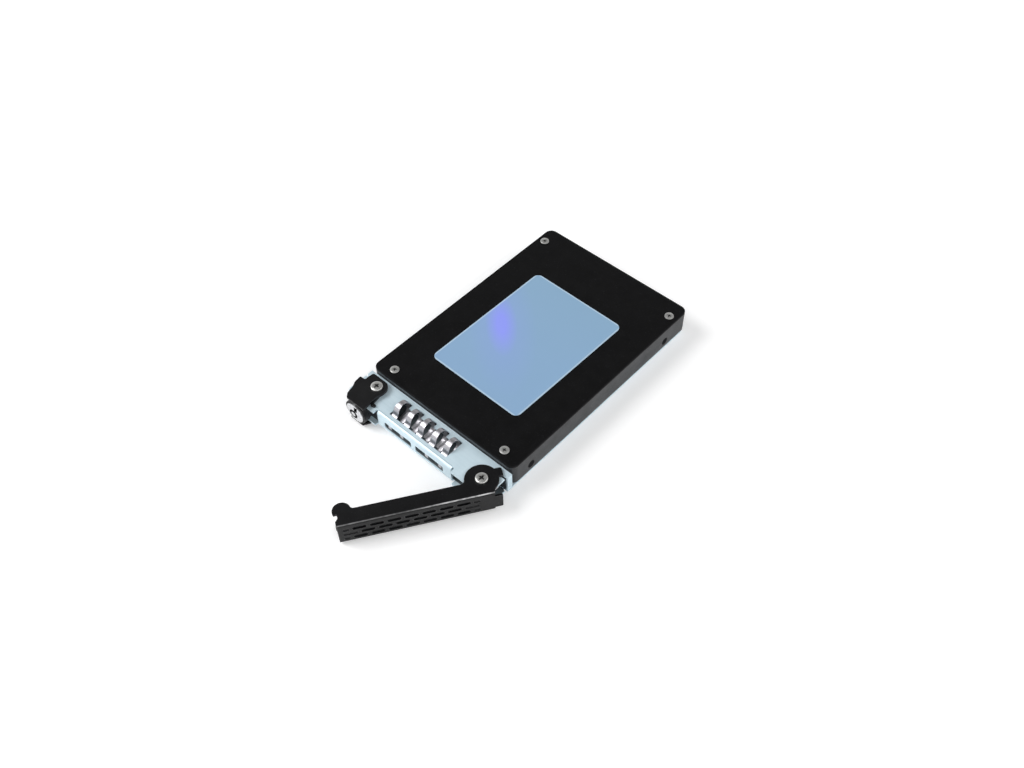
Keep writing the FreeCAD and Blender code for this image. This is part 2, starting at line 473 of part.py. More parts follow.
# ---------------------------------------------------------------- the latch
def build_latch():
    right = RING_X + RING_R - 0.02
    outline = [(-32.1, 10.65, 0.8), (-26.0, 10.65, 1.0), (-23.1, 7.0, 1.0), (-23.1, 1.0, 1.5),
               (right, -1.8, 0.8), (right, RING_FRONT, 0.3), (-31.2, RING_FRONT, 0.8), (-32.6, -1.8, 1.0),
               (-33.2, 1.1, 0.8), (-34.4, 3.4, 1.5), (-34.8, 6.5, 0.5), (-32.4, 6.5, 0.6), (-32.4, 8.6, 0.4)]
    cap = joined([prism(outline, LATCH_CAP_BOTTOM, LATCH_CAP_TOP),
                  post(LATCH, LATCH_LOBE_R, LATCH_CAP_BOTTOM, LATCH_CAP_TOP)])
    cap = cap.common(box(-40, 0, -9, 10.65, 0, 20)).removeSplitter()
    foot = prism([(-34.4, 10.65, 1.5), (-26.0, 10.65, 1.0), (-23.1, 7.0, 1.0), (-23.1, -1.0, 1.0),
                  (-24.6, RING_FRONT, 0.5), (-30.8, RING_FRONT, 0.5), (-34.4, 1.0, 2.0)],
                 LATCH_FOOT_BOTTOM, LATCH_FOOT_TOP)
    foot = foot.fuse(post(LATCH, LATCH_LOBE_R - 0.6, LATCH_FOOT_BOTTOM, LATCH_FOOT_TOP))
    hub = V(RING_X, RING_FRONT, RING_Z)
    ring = Part.makeCylinder(RING_R, RING_BACK - RING_FRONT, hub, Y_AXIS)
    column_half, base_half = 3.0, 2.5
    column = box(RING_X - column_half, RING_X + column_half, RING_FRONT + 0.6, RING_BACK,
                 RING_Z - RING_R + 0.3, LATCH_CAP_BOTTOM)
    base = box(RING_X - base_half, RING_X + base_half, RING_FRONT + 0.6, RING_BACK, LATCH_FOOT_BOTTOM,
               RING_Z - RING_R + RING_WALL + 0.3)
    spacers = [box(-34.1, -33.0, 2.4, 6.2, CHANNEL_H, LATCH_CAP_BOTTOM)]
    bore = Part.makeCylinder(RING_R - RING_WALL, 20, V(RING_X, RING_FRONT - 5, RING_Z), Y_AXIS)
    housing = joined([ring, column, base]).cut(bore)
    housing = joined([housing, cap, foot] + spacers)
    housing = housing.cut(bore).cut(post(LATCH, PIVOT_R + RUNNING, -9, 20))
    keep("latch_housing", housing)

    ball_r = (BUTTON_R ** 2 + BUTTON_DOME ** 2) / (2 * BUTTON_DOME)

    def dome(r):
        """A point of the button's domed face, r from its axis."""
        return V(RING_X + r, BUTTON_FRONT - BUTTON_DOME + ball_r - math.sqrt(ball_r ** 2 - r ** 2), RING_Z)

    stud_r = BUTTON_EYE_R - 0.7
    groove = dome(BUTTON_EYE_R).y + BUTTON_EYE_DEPTH
    path = [Part.makeLine(V(RING_X, BUTTON_BACK, RING_Z), V(RING_X + BUTTON_R, BUTTON_BACK, RING_Z)),
            Part.makeLine(V(RING_X + BUTTON_R, BUTTON_BACK, RING_Z), dome(BUTTON_R)),
            Part.Arc(dome(BUTTON_R), dome((BUTTON_R + BUTTON_EYE_R) / 2), dome(BUTTON_EYE_R)).toShape(),
            Part.makeLine(dome(BUTTON_EYE_R), V(RING_X + BUTTON_EYE_R, groove, RING_Z)),
            Part.makeLine(V(RING_X + BUTTON_EYE_R, groove, RING_Z), V(RING_X + stud_r, groove, RING_Z)),
            Part.makeLine(V(RING_X + stud_r, groove, RING_Z), dome(stud_r)),
            Part.Arc(dome(stud_r), dome(stud_r / 2), dome(0)).toShape(),
            Part.makeLine(dome(0), V(RING_X, BUTTON_BACK, RING_Z))]
    button = Part.Face(Part.Wire(path)).revolve(V(RING_X, 0, RING_Z), Y_AXIS, 360)
    near, far, low, high = BUTTON_NOTCH
    notch = box(RING_X + near, RING_X + far, BUTTON_FRONT - 2, BUTTON_FRONT + 0.3,
                RING_Z + low, RING_Z + high)
    button = button.cut(notch)
    stem = box(RING_X - STEM, RING_X + STEM, BUTTON_BACK, SLIDER_FRONT, RING_Z - STEM, RING_Z + STEM)
    keep("release_button", button.fuse(stem).removeSplitter())

    wall = box(-32.0, -24.2, GUIDE_FRONT, GUIDE_BACK, SHEET, CHANNEL_H - SHEET)
    hole = box(RING_X - STEM - 0.15, RING_X + STEM + 0.15, -2, 4, RING_Z - STEM - 0.15, RING_Z + STEM + 0.15)
    keep("button_guide", wall.cut(hole))

    arm = box(POST_X - 0.8, RING_X + STEM, SLIDER_FRONT, SLIDER_BACK, RING_Z - STEM, RING_Z + STEM)
    pusher = post(V(POST_X, POST_Y, 0), POST_R, RING_Z + STEM, PAWL_TOP)
    keep("button_slider", arm.fuse(pusher).removeSplitter())
    spring_gap = GUIDE_FRONT - BUTTON_BACK
    wire_r = 0.2
    keep("button_spring", coil(2.3, wire_r, 3, spring_gap - 2 * wire_r - 0.1,
                               V(RING_X, BUTTON_BACK + wire_r + 0.05, RING_Z), Y_AXIS))


def build_pawl():
    """The catch: one arm carries the nose that holds the lever, the other is pushed by the slider's post."""
    arm_front = POST_Y + POST_R + 0.1
    body = joined([
        post(LATCH, 3.4, PAWL_BOTTOM, PAWL_TOP),
        prism([(LATCH.x, arm_front, 0), (LATCH.x, 9.0, 0), (-31.9, 7.6, 0.8), (-31.9, arm_front, 0.3)],
              PAWL_BOTTOM, PAWL_TOP),
        prism([(LATCH.x, 6.0, 0), (LATCH.x + 3.0, 6.4, 0.5), (-22.6, 1.6, 0.3), (PAWL_TIP.x, 1.5, 0.2),
               (PAWL_TIP.x, 0.6, 0.2), (-22.5, 0.1, 0.4), (LATCH.x + 0.8, 2.6, 1.0), (LATCH.x, arm_front, 0)],
              PAWL_BOTTOM, PAWL_TOP)])
    body = body.cut(post(LATCH, PIVOT_R + RUNNING, 0, 20))
    keep("catch_pawl", body)
    spring_r, wire_r = BUSH_R + 0.5, 0.25
    spring = coil(spring_r, wire_r, 3, 2.4, V(LATCH.x, LATCH.y, 4.2), Z_AXIS)
    leg = Part.makeCylinder(wire_r, 3.6, V(LATCH.x + spring_r, LATCH.y, 6.6), Y_AXIS)
    foot = Part.makeCylinder(wire_r, 3.6, V(LATCH.x + spring_r, LATCH.y, 4.2), Y_AXIS)
    keep("pawl_spring", joined([spring, leg, foot]))


def export():
    for name, shapes in NODES.items():
        whole = shapes[0] if len(shapes) == 1 else Part.makeCompound(shapes)
        whole.exportStep("parts/" + name + ".step")


build_drive()
build_electronics()
build_tray()
build_strip()
build_lever()
pivot_stack("lever", PIVOT, LEVER_TOP + FACE, LEVER_BOTTOM)
build_lever_spring()
build_latch()
pivot_stack("latch", LATCH, LATCH_CAP_TOP, LATCH_FOOT_BOTTOM)
build_pawl()
export()
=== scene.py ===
"""A hot swap drive caddy in its finishes: black powder coat, zinc sheet and bright spring fingers."""

import json
import math

import bmesh
import bpy
from mathutils import Matrix, Vector


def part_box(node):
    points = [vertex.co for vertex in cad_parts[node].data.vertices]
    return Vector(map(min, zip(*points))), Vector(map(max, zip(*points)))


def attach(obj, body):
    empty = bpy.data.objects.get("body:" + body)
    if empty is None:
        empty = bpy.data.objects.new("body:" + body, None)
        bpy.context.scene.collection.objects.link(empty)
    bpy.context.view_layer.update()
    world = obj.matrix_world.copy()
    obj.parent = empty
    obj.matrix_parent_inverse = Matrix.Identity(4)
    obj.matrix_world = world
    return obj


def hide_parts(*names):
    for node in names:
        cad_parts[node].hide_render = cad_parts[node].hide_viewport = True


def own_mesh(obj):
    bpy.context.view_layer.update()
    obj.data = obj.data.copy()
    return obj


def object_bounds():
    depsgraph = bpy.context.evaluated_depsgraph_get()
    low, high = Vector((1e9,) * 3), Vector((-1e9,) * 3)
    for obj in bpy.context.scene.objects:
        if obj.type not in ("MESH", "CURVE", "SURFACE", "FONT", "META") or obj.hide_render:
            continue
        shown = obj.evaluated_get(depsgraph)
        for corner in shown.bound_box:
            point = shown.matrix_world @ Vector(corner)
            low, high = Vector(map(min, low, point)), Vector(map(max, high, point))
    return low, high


MM = 0.001
WELD = 0.002 * MM                        # corners closer than this are one corner
LEVER_PIVOT = Vector((28.975, 3.5, 0)) * MM
LATCH_PIVOT = Vector((-26.425, 6.9, 0)) * MM
BUTTON_AXIS = Vector((-27.5, 0, 4.2)) * MM
LEVER_OPEN = math.radians(56.5)          # how far the lever stands open at rest
LABEL_HALF = (21.4 * MM, 29.35 * MM)
LABEL_TURN = math.radians(0.7)           # the label is stuck on slightly askew

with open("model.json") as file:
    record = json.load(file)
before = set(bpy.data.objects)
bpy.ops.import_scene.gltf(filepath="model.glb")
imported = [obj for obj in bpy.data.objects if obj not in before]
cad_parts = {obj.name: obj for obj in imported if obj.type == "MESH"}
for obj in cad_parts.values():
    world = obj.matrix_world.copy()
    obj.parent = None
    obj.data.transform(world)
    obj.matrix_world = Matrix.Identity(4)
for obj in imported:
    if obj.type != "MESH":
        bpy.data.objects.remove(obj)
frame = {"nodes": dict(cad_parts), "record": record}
cad_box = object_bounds()


# ---------------------------------------------------------------- node helpers
def new_material(name):
    """An empty node material with its Principled shader and output joined."""
    material = bpy.data.materials.new(name)
    material.use_nodes = True
    tree = material.node_tree
    tree.nodes.clear()
    output = tree.nodes.new("ShaderNodeOutputMaterial")
    shader = tree.nodes.new("ShaderNodeBsdfPrincipled")
    tree.links.new(shader.outputs["BSDF"], output.inputs["Surface"])
    return material, tree, shader


def fill(tree, socket, value):
    """Links a socket to another node's output, or sets its own value."""
    if isinstance(value, bpy.types.NodeSocket):
        tree.links.new(value, socket)
    else:
        socket.default_value = value


def fill_named(tree, node, **sockets):
    """Fills a node's sockets by name (spaces written as underscores)."""
    for name, value in sockets.items():
        fill(tree, node.inputs[name.replace("_", " ")], value)


def add(tree, kind, **sockets):
    """A node of a kind, with its named sockets filled."""
    node = tree.nodes.new(kind)
    fill_named(tree, node, **sockets)
    return node


def place(tree, scale=(1, 1, 1)):
    """Object coordinates, scaled."""
    coordinates = tree.nodes.new("ShaderNodeTexCoord")
    return add(tree, "ShaderNodeMapping", Vector=coordinates.outputs["Object"], Scale=scale).outputs["Vector"]


def shifted(tree, vector, by):
    return add(tree, "ShaderNodeMapping", Vector=vector, Location=by).outputs["Vector"]


def turned_about_z(tree, vector, angle):
    return add(tree, "ShaderNodeMapping", Vector=vector, Rotation=(0, 0, angle)).outputs["Vector"]


def noise(tree, vector, scale, detail=3.0):
    """Noise at a scale given in cycles per metre."""
    node = add(tree, "ShaderNodeTexNoise", Vector=vector, Scale=scale, Detail=detail, Roughness=0.55)
    return node.outputs["Fac"]


def ramp(tree, factor, stops):
    """Colours along a factor: (place, (r, g, b)) pairs."""
    node = add(tree, "ShaderNodeValToRGB", Fac=factor)
    elements = node.color_ramp.elements
    while len(elements) < len(stops):
        elements.new(0.5)
    for element, (place_at, colour) in zip(elements, stops):
        element.position = place_at
        element.color = (*colour, 1)
    return node.outputs["Color"]


def span(tree, factor, low, high, start=0.0, end=1.0):
    """A factor's start..end mapped to low..high."""
    node = add(tree, "ShaderNodeMapRange", Value=factor)
    for socket, value in zip(node.inputs[1:5], (start, end, low, high)):
        socket.default_value = value
    return node.outputs["Result"]


def blend_colours(tree, factor, first, second):
    """The first colour where the factor is 0, the second where it is 1."""
    node = tree.nodes.new("ShaderNodeMix")
    node.data_type = "RGBA"
    for socket, value in ((node.inputs[0], factor), (node.inputs[6], first), (node.inputs[7], second)):
        fill(tree, socket, (*value, 1) if isinstance(value, tuple) else value)
    return node.outputs[2]


def arithmetic(tree, operation, first, second=0.5):
    node = tree.nodes.new("ShaderNodeMath")
    node.operation = operation
    for socket, value in zip(node.inputs, (first, second)):
        fill(tree, socket, value)
    return node.outputs[0]


def times(colour, share):
    return tuple(part * share for part in colour)


def bump(tree, shader, height, strength, distance):
    node = add(tree, "ShaderNodeBump", Height=height, Strength=strength, Distance=distance)
    tree.links.new(node.outputs["Normal"], shader.inputs["Normal"])


def edge_wear_and_highlight(tree, reach):
    """1 at an outer edge, 0 on flats: how far a rounded normal leans from the true one; it marks edges paled
    partly as wear where hands rub and partly as a painted edge highlight.
    """
    geometry = tree.nodes.new("ShaderNodeNewGeometry")
    rounded = add(tree, "ShaderNodeBevel", Radius=reach)
    rounded.samples = 6
    lean = tree.nodes.new("ShaderNodeVectorMath")
    lean.operation = "DOT_PRODUCT"
    tree.links.new(rounded.outputs["Normal"], lean.inputs[0])
    tree.links.new(geometry.outputs["Normal"], lean.inputs[1])
    return span(tree, lean.outputs["Value"], 1.0, 0.0, start=0.80, end=0.99)


def within(tree, value, middle, half, soft=0.08 * MM):
    """1 where a value is within half of the middle, falling to 0 over soft."""
    off = arithmetic(tree, "ABSOLUTE", arithmetic(tree, "SUBTRACT", value, middle))
    return span(tree, off, 1.0, 0.0, start=half, end=half + soft)


def within_box(tree, low, high):
    """1 inside a box of the part's own space, whose corners are in millimetres."""
    split = add(tree, "ShaderNodeSeparateXYZ", Vector=place(tree))
    mask = 1.0
    for along, near, far in zip(split.outputs, low, high):
        side = within(tree, along, (near + far) / 2 * MM, (far - near) / 2 * MM, soft=0.1 * MM)
        mask = arithmetic(tree, "MULTIPLY", side, mask)
    return mask


# ---------------------------------------------------------------- finishes
PEBBLE = 2600.0                          # noise scale of powder coat's and moulded plastic's fine texture
# pale colour of the highlight painted along the lever's fold
FOLD_HIGHLIGHT_PALE = (0.62, 0.62, 0.63)


def powder_coat(name, colour, rough, grain=0.3, shine=0.2, edge_colour=(0.06, 0.062, 0.066), speckle=5.0,
                fold=None):
    """Black powder coat: a fine pebble, pale specks, faint mottling and paler edges, partly wear where hands
    rub it and partly a painted edge highlight.
    """
    material, tree, shader = new_material(name)
    vector = place(tree)
    mottle = noise(tree, vector, scale=260.0, detail=4.0)
    base = ramp(tree, mottle, [(0.35, colour), (0.75, times(colour, 1.5))])
    specks = span(tree, noise(tree, vector, scale=1900.0, detail=2.0), 0.0, 0.5, start=0.62, end=0.78)
    dusted = blend_colours(tree, specks, base, times(colour, speckle))
    patches = span(tree, noise(tree, vector, scale=60.0), 0.3, 1.0, start=0.3, end=0.7)
    # paler edges: partly edge wear, partly a painted highlight where edges would catch the light
    worn_and_highlit = arithmetic(tree, "MULTIPLY", edge_wear_and_highlight(tree, reach=0.25 * MM), patches)
    coat = blend_colours(tree, worn_and_highlit, dusted, edge_colour)
    # a coat can take a painted highlight along a fold
    if fold:
        coat = blend_colours(tree, fold(tree), coat, FOLD_HIGHLIGHT_PALE)
    cloud = span(tree, noise(tree, vector, scale=90.0), rough - 0.06, rough + 0.08, start=0.3, end=0.7)
    fill_named(tree, shader, Base_Color=coat, Roughness=cloud, Specular_IOR_Level=shine)
    bump(tree, shader, noise(tree, vector, PEBBLE, detail=2.0), strength=grain, distance=0.05 * MM)
    return material


def painted_fold_highlight(tree):
    """A painted highlight along the lever's upper fold: a thin pale line, strongest near the pivot."""
    fold_y, fold_z = -5.6 * MM, 8.1 * MM
    highlight_all_along = 0.32
    shut = turned_about_z(tree, shifted(tree, place(tree), -LEVER_PIVOT), -LEVER_OPEN)
    split = add(tree, "ShaderNodeSeparateXYZ", Vector=shut)
    out = arithmetic(tree, "SUBTRACT", split.outputs["Y"], fold_y)
    up = arithmetic(tree, "SUBTRACT", split.outputs["Z"], fold_z)
    crest = within(tree, arithmetic(tree, "ADD", out, up), 0.1 * MM, half=0.2 * MM, soft=0.2 * MM)
    outside = arithmetic(tree, "MULTIPLY", span(tree, out, 1.0, 0.0, start=-0.1 * MM, end=0.0),
                         span(tree, up, 0.0, 1.0, start=0.0, end=0.1 * MM))
    near_pivot = within(tree, split.outputs["X"], -5.0 * MM, half=10.0 * MM, soft=12.0 * MM)
    fade = arithmetic(tree, "MAXIMUM", near_pivot, highlight_all_along)
    patchy = span(tree, noise(tree, place(tree), scale=420.0), 0.35, 1.0, start=0.35, end=0.65)
    return arithmetic(tree, "MULTIPLY", arithmetic(tree, "MULTIPLY", crest, outside),
                      arithmetic(tree, "MULTIPLY", fade, patchy))


def zinc(name):
    """Blue-passivated zinc plate: pale blue-grey metal with a faint spangle and rolling grain, and painted
    shade inside its channel, in its slots and along its front bend.
    """
    material, tree, shader = new_material(name)
    spangle = noise(tree, place(tree), scale=70.0, detail=4.0)
    rolling = noise(tree, place(tree, scale=(40, 900, 900)), scale=1.0)
    both = arithmetic(tree, "ADD", arithmetic(tree, "MULTIPLY", spangle, 0.6),
                      arithmetic(tree, "MULTIPLY", rolling, 0.4))
    tint = ramp(tree, both, [(0.3, (0.60, 0.755, 0.835)), (0.55, (0.68, 0.83, 0.91)),
                             (0.8, (0.74, 0.87, 0.93))])
    # painted shade: near black inside the channel and the front wall's slots, and a dark line along the front
    # bend, where shade falls
    channel = within_box(tree, (-34.0, 0.9, 0.5), (34.1, 12.4, 7.4))
    slots = within_box(tree, (-16.2, 0.4, 1.6), (13.7, 0.9, 5.1))
    bend_shade_line = within_box(tree, (-19.4, 1.05, 7.8), (17.6, 1.17, 8.2))
    inside = arithmetic(tree, "MULTIPLY", arithmetic(tree, "MAXIMUM", channel, slots), 0.85)
    shaded_tint = blend_colours(tree, inside, tint, (0.04, 0.044, 0.048))
    shaded_tint = blend_colours(tree, arithmetic(tree, "MULTIPLY", bend_shade_line, 0.4), shaded_tint, (0.10, 0.12, 0.14))
    satin = span(tree, spangle, 0.38, 0.5, start=0.3, end=0.7)
    fill_named(tree, shader, Base_Color=shaded_tint, Roughness=satin, Metallic=0.3)
    bump(tree, shader, rolling, strength=0.15, distance=0.03 * MM)
    return material


def bright_steel(name, colour, rough, recess_shade=0.0):
    """Bare bright metal with fine draw lines, and painted shade down in a screw's recess."""
    material, tree, shader = new_material(name)
    draw_lines = noise(tree, place(tree, scale=(2500, 120, 2500)), scale=1.0, detail=2.0)
    base = ramp(tree, draw_lines, [(0.3, times(colour, 0.86)), (0.7, colour)])
    if recess_shade:
        # painted shade: the recess is darkened where light does not reach into it
        recess = tree.nodes.new("ShaderNodeAttribute")
        recess.attribute_name = "recess"
        shaded_recess = arithmetic(tree, "MULTIPLY", recess.outputs["Fac"], recess_shade)
        base = blend_colours(tree, shaded_recess, base, (0.02, 0.02, 0.022))
    gloss = span(tree, draw_lines, rough - 0.05, rough + 0.06, start=0.3, end=0.7)
    fill_named(tree, shader, Base_Color=base, Roughness=gloss, Metallic=1.0)
    bump(tree, shader, draw_lines, strength=0.1, distance=0.02 * MM)
    return material


def button_face(name, colour, rough):
    """Satin metal with painted shade in a sunk ring round the middle and in a notch above it."""
    material, tree, shader = new_material(name)
    low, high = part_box("release_button")
    middle = (low + high) / 2
    split = add(tree, "ShaderNodeSeparateXYZ", Vector=place(tree))
    aside = arithmetic(tree, "SUBTRACT", split.outputs["X"], middle.x)
    above = arithmetic(tree, "SUBTRACT", split.outputs["Z"], middle.z)
    radius = arithmetic(tree, "SQRT", arithmetic(tree, "ADD", arithmetic(tree, "MULTIPLY", aside, aside),
                                                 arithmetic(tree, "MULTIPLY", above, above)))
    ring = within(tree, radius, 1.52 * MM, half=0.46 * MM)
    notch = arithmetic(tree, "MULTIPLY", within(tree, aside, 1.2 * MM, half=0.64 * MM),
                       within(tree, above, 2.75 * MM, half=0.9 * MM))
    # painted shade in the sunk ring and the notch
    sunk_shade = arithmetic(tree, "MAXIMUM", ring, notch)
    mottle = noise(tree, place(tree, scale=(1400, 1400, 1400)), scale=1.0)
    base = ramp(tree, mottle, [(0.3, times(colour, 0.6)), (0.6, colour)])
    fill_named(tree, shader, Base_Color=blend_colours(tree, sunk_shade, base, (0.006, 0.006, 0.007)),
               Roughness=span(tree, sunk_shade, rough, 0.6), Metallic=1.0)
    return material


def moulded(name, colour, rough=0.45):
    """Moulded plastic with a fine even texture."""
    material, tree, shader = new_material(name)
    vector = place(tree)
    base = ramp(tree, noise(tree, vector, scale=150.0), [(0.3, colour), (0.8, times(colour, 1.3))])
    satin = span(tree, noise(tree, vector, scale=400.0), rough - 0.05, rough + 0.05, start=0.3, end=0.7)
    fill_named(tree, shader, Base_Color=base, Roughness=satin)
    bump(tree, shader, noise(tree, vector, PEBBLE, detail=2.0), strength=0.25, distance=0.03 * MM)
    return material


def label_film(name):
    """Pale blue label film with a light rim and a painted soft violet sheen, a reflection, across one side.
    """
    material, tree, shader = new_material(name)
    low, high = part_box("drive_label")
    centre = Matrix.Rotation(LABEL_TURN, 3, "Z") @ ((low + high) / 2)
    squared = turned_about_z(tree, place(tree), LABEL_TURN)
    split = add(tree, "ShaderNodeSeparateXYZ", Vector=squared)
    across = arithmetic(tree, "SUBTRACT", split.outputs["X"], centre.x)
    along = arithmetic(tree, "SUBTRACT", split.outputs["Y"], centre.y)
    base = ramp(tree, span(tree, along, 0.0, 1.0, start=-LABEL_HALF[1], end=LABEL_HALF[1]),
                [(0.0, (0.244, 0.39, 0.58)), (0.45, (0.247, 0.398, 0.585)), (1.0, (0.248, 0.40, 0.565))])

    # painted reflection: a violet sheen laid into the film's colour
    sheen_from_centre = Vector((-13.3, -0.2, 0)) * MM
    sheen_half = (15.0 * MM, 5.6 * MM)
    from_sheen = shifted(tree, squared, -sheen_from_centre - Vector((centre.x, centre.y, 0)))
    lengthwise = turned_about_z(tree, from_sheen, math.radians(43.0))
    oval = add(tree, "ShaderNodeMapping", Vector=lengthwise, Scale=(1 / sheen_half[0], 1 / sheen_half[1], 0))
    reach = tree.nodes.new("ShaderNodeVectorMath")
    reach.operation = "LENGTH"
    tree.links.new(oval.outputs["Vector"], reach.inputs[0])
    core = span(tree, reach.outputs["Value"], 0.55, 0.0, start=0.3, end=1.1)
    haze = span(tree, reach.outputs["Value"], 0.2, 0.0, start=0.3, end=2.4)
    sheen_painted = blend_colours(tree, arithmetic(tree, "ADD", core, haze), base, (0.29, 0.31, 1.0))

    past_side = arithmetic(tree, "SUBTRACT", arithmetic(tree, "ABSOLUTE", across), LABEL_HALF[0])
    past_end = arithmetic(tree, "SUBTRACT", arithmetic(tree, "ABSOLUTE", along), LABEL_HALF[1])
    past_edge = arithmetic(tree, "MAXIMUM", past_side, past_end)
    rim = span(tree, past_edge, 0.0, 0.8, start=-0.7 * MM, end=-0.4 * MM)
    satin = span(tree, noise(tree, place(tree), scale=120.0), 0.38, 0.48, start=0.3, end=0.7)
    fill_named(tree, shader, Base_Color=blend_colours(tree, rim, sheen_painted, (0.46, 0.60, 0.72)), Roughness=satin,
               Specular_IOR_Level=0.3)
    bump(tree, shader, noise(tree, place(tree), scale=900.0, detail=2.0), strength=0.06, distance=0.02 * MM)
    return material


def fibreglass(name):
    """Green board laminate with a fine weave."""
    material, tree, shader = new_material(name)
    weave = noise(tree, place(tree, scale=(900, 900, 900)), scale=1.0, detail=1.0)
    green = ramp(tree, weave, [(0.3, (0.010, 0.09, 0.045)), (0.7, (0.018, 0.15, 0.07))])
    fill_named(tree, shader, Base_Color=green, Roughness=0.3)
    bump(tree, shader, weave, strength=0.1, distance=0.03 * MM)
    return material


def studio_floor(name):
    """Near-white floor: a pale colour for the light, plain white where the camera looks at it."""
    material, tree, shader = new_material(name)
    cloud = noise(tree, place(tree), scale=2.0)
    shade = ramp(tree, cloud, [(0.3, (0.86, 0.86, 0.865)), (0.7, (0.88, 0.88, 0.88))])
    path = tree.nodes.new("ShaderNodeLightPath")
    seen = arithmetic(tree, "MAXIMUM", path.outputs["Is Camera Ray"], path.outputs["Is Glossy Ray"])
    seen = arithmetic(tree, "MAXIMUM", seen, path.outputs["Is Transmission Ray"])
    fill_named(tree, shader, Base_Color=shade, Roughness=0.9, Emission_Color=(1, 1, 1, 1),
               Emission_Strength=span(tree, seen, 0.0, 0.25))
    return material


# the lever's coat takes a painted highlight along its fold, and its paler edge colour is partly a painted
# edge highlight
BLACK_COAT = powder_coat("lever_powder_coat", (0.0045, 0.0045, 0.005), rough=0.34,
                         edge_colour=(0.12, 0.12, 0.125), speckle=10.0, fold=painted_fold_highlight)
DRIVE_COAT = powder_coat("drive_cover_coat", (0.0032, 0.0032, 0.0035), rough=0.48, grain=0.6, shine=0.10,
                         speckle=9.0)
# painted light: the case is the same black coat as the cover, made paler so that its sides show as lit grey
LIT_CASE_COAT = powder_coat("drive_case_coat", (0.024, 0.025, 0.027), rough=0.4, shine=0.3)
LATCH_PLASTIC = powder_coat("latch_black", (0.006, 0.006, 0.0065), rough=0.40, grain=0.35)
GUIDE_PLASTIC = moulded("guide_plastic", (0.03, 0.03, 0.033))
CHIP_PLASTIC = moulded("chip_epoxy", (0.02, 0.02, 0.022))
PAD_RUBBER = moulded("thermal_pad_rubber", (0.28, 0.36, 0.45), rough=0.7)
ZINC = zinc("zinc_plate")
FINGER_STEEL = bright_steel("finger_spring_steel", (0.52, 0.51, 0.54), rough=0.40)
PLATED_STEEL = bright_steel("plated_steel", (0.68, 0.68, 0.69), rough=0.3)
CONTACT_GOLD = bright_steel("contact_gold", (0.80, 0.56, 0.22), rough=0.3)
SCREW_STEEL = bright_steel("screw_head_steel", (0.76, 0.76, 0.74), rough=0.36, recess_shade=0.96)
WIRE_STEEL = bright_steel("spring_wire_steel", (0.5, 0.5, 0.52), rough=0.3)
BUTTON_METAL = button_face("button_metal", (0.76, 0.77, 0.79), rough=0.34)
LABEL_FILM = label_film("label_film")
BOARD_GREEN = fibreglass("board_laminate")

NODE_FINISH = {
    "drive_case": LIT_CASE_COAT, "drive_cover": DRIVE_COAT, "drive_cover_screws": PLATED_STEEL,
    "drive_label": LABEL_FILM, "drive_board": BOARD_GREEN, "drive_connector": GUIDE_PLASTIC,
    "controller_chip": CHIP_PLASTIC, "flash_chips": CHIP_PLASTIC, "thermal_pad": PAD_RUBBER,
    "drive_mount_screws": PLATED_STEEL, "tray": ZINC, "emi_spring_strip": FINGER_STEEL,
    "lever": BLACK_COAT, "lever_pivot_screw": PLATED_STEEL, "lever_pivot_bush": PLATED_STEEL,
    "lever_pivot_nut": PLATED_STEEL, "lever_spring": WIRE_STEEL, "latch_housing": LATCH_PLASTIC,
    "release_button": BUTTON_METAL, "button_spring": WIRE_STEEL, "button_guide": GUIDE_PLASTIC,
    "button_slider": GUIDE_PLASTIC, "catch_pawl": BLACK_COAT, "pawl_spring": WIRE_STEEL,
    "latch_pivot_screw": PLATED_STEEL, "latch_pivot_bush": PLATED_STEEL, "latch_pivot_nut": PLATED_STEEL}
for node, finish in NODE_FINISH.items():
    solid = frame["nodes"][node]
    solid.data.materials.clear()
    solid.data.materials.append(finish)

NODE_BODY = {member: body for body, members in frame["record"]["behaviour"]["bodies"].items()
             for member in members}


# ---------------------------------------------------------------- dressed copies of the solids
SAME_FLAT = 0.99998                      # cosine between faces that belong to one flat
ROUND_ON = math.cos(math.radians(35.0))  # cosine up to which shading runs on round an edge
SMOOTH_BEND = math.radians(40.0)


def settle_normals(mesh):
    """Shades flats flat and rounds smooth: a corner leans to the broadest flat that it runs into."""
    for polygon in mesh.polygons:
        polygon.use_smooth = True
    work = bmesh.new()
    work.from_mesh(mesh)
    work.faces.ensure_lookup_table()
    flat_of, areas, normals = [-1] * len(work.faces), [], []
    for face in work.faces:
        if flat_of[face.index] >= 0:
            continue
        lead, stack, area = face.normal.copy(), [face], 0.0
        flat_of[face.index] = len(areas)
        while stack:
            current = stack.pop()
            area += current.calc_area()
            for edge in current.edges:
                for other in edge.link_faces:
                    if flat_of[other.index] < 0 and other.normal.dot(lead) > SAME_FLAT:
                        flat_of[other.index] = len(areas)
                        stack.append(other)
        areas.append(area)
        normals.append(lead)
    corners = []
    for face in work.faces:
        own = normals[flat_of[face.index]]
        for corner in face.loops:
            near = {flat_of[other.index] for other in corner.vert.link_faces}
            total = own * 1e-12
            for flat in near:
                if normals[flat].dot(own) > ROUND_ON:
                    total += normals[flat] * areas[flat] ** 1.5
            corners.append(tuple(total.normalized() if total.length > 0 else own))
    work.free()
    mesh.normals_split_custom_set(corners)


def show_for(piece, node, finish, curved=False, instead=True):
    """Finishes a piece, gives it a node's slot and body, and shows it for the node's solid, or with it."""
    piece.data.materials.clear()
    piece.data.materials.append(finish)
    if curved:
        piece.data.polygons.foreach_set("use_smooth", [True] * len(piece.data.polygons))
        piece.data.set_sharp_from_angle(angle=SMOOTH_BEND)
    else:
        settle_normals(piece.data)
    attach(piece, NODE_BODY[node])
    if instead:
        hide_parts(node)


def new_object(name, mesh):
    """An object for a mesh, put in the scene."""
    made = bpy.data.objects.new(name, mesh)
    bpy.context.scene.collection.objects.link(made)
    return made


